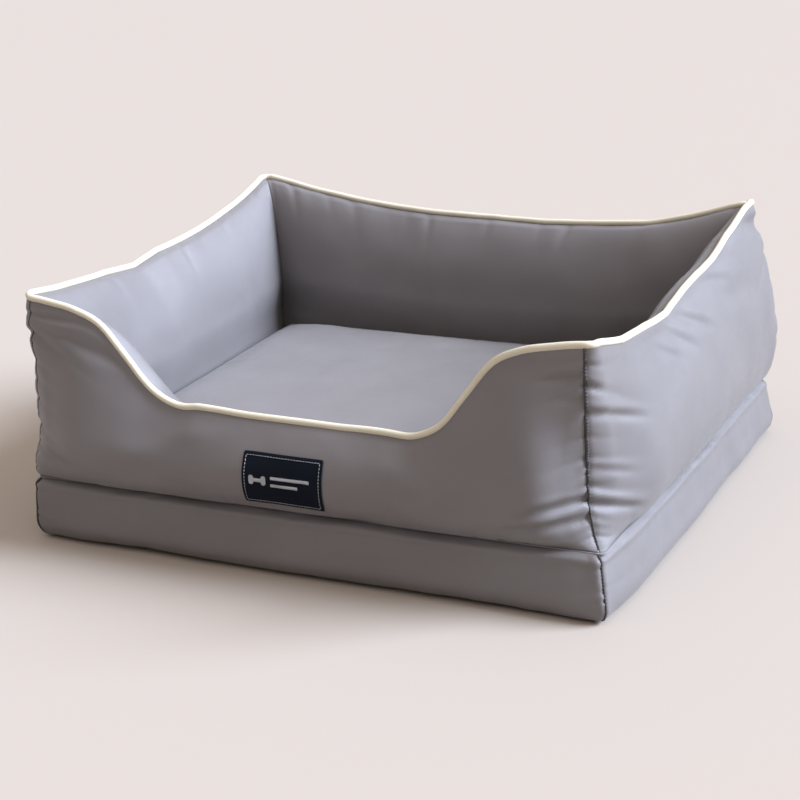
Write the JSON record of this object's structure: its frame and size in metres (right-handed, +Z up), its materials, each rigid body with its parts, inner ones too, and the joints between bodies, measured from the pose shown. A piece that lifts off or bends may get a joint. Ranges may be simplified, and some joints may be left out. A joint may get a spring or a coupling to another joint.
{
  "type": "pet cushion bed",
  "caption": "Rectangular pet bed with four stuffed fabric walls, a dipped front entry, cream rim piping, a zipped foam base and a loose, zipped seat cushion.",
  "frame": {"origin": "centre of the flat underside, on the floor", "axes": "+X along the front from the animal's left-hand end to its right as seen from the front, the longest side; +Y from the entry to the back wall; +Z up, the shortest extent"},
  "size_m": [0.594, 0.4824, 0.2411],
  "materials": {
    "taupe_fabric": "satin, tight weave",
    "fibre_filling": "soft fibre",
    "cream_piping": "matt",
    "navy_label": "matt, woven",
    "underside_fabric": "matt, with grip dots",
    "lining_fabric": "matt",
    "base_foam": "open-cell foam",
    "zip_tape": "matt, woven",
    "zip_coil": "satin",
    "zip_metal": "satin"
  },
  "bodies": {
    "cover": {"front_outer_panel": "taupe_fabric", "right_outer_panel": "taupe_fabric", "back_outer_panel": "taupe_fabric", "left_outer_panel": "taupe_fabric", "front_inner_panel": "taupe_fabric", "right_inner_panel": "taupe_fabric", "back_inner_panel": "taupe_fabric", "left_inner_panel": "taupe_fabric", "base_front_band": "taupe_fabric", "base_right_band": "taupe_fabric", "base_left_band": "taupe_fabric", "base_back_upper_strip": "taupe_fabric", "base_back_lower_strip": "taupe_fabric", "front_wall_filling": "fibre_filling", "right_wall_filling": "fibre_filling", "back_wall_filling": "fibre_filling", "left_wall_filling": "fibre_filling", "piping": "cream_piping", "label_patch": "navy_label", "underside_panel": "underside_fabric", "deck_panel": "lining_fabric", "base_foam_slab": "base_foam", "cover_zip_tape_upper": "zip_tape", "cover_zip_tape_lower": "zip_tape", "cover_zip_coil_upper": "zip_coil", "cover_zip_coil_lower": "zip_coil", "cover_zip_top_stop": "zip_metal", "cover_zip_bottom_stop": "zip_metal"},
    "cushion": {"cushion_top_panel": "taupe_fabric", "cushion_boxing": "taupe_fabric", "cushion_zip_strip_upper": "taupe_fabric", "cushion_zip_strip_lower": "taupe_fabric", "cushion_filling": "fibre_filling", "cushion_bottom_panel": "lining_fabric", "cushion_zip_tape_upper": "zip_tape", "cushion_zip_tape_lower": "zip_tape", "cushion_zip_coil_upper": "zip_coil", "cushion_zip_coil_lower": "zip_coil", "cushion_zip_top_stop": "zip_metal", "cushion_zip_bottom_stop": "zip_metal"},
    "cover_zip_slider_body": {"cover_zip_slider": "zip_metal"},
    "cover_zip_puller_body": {"cover_zip_puller": "zip_metal"},
    "cushion_zip_slider_body": {"cushion_zip_slider": "zip_metal"}
  },
  "joints": [
    {"name": "cushion_lift", "type": "slide", "parent": "cover", "child": "cushion", "axis": [0, 0, 1], "range_m": [0, 0.25]},
    {"name": "cover_zip_slide", "type": "slide", "parent": "cover", "child": "cover_zip_slider_body", "axis": [-1, 0, 0], "range_m": [0, 0.376]},
    {"name": "cover_zip_puller_turn", "type": "hinge", "parent": "cover_zip_slider_body", "child": "cover_zip_puller_body", "pos_m": [0.188, 0.2346, 0.03], "axis": [0, 0, -1], "range_deg": [0, 150]},
    {"name": "cushion_zip_slide", "type": "slide", "parent": "cushion", "child": "cushion_zip_slider_body", "axis": [-1, 0, 0], "range_m": [0, 0.376]}
  ]
}
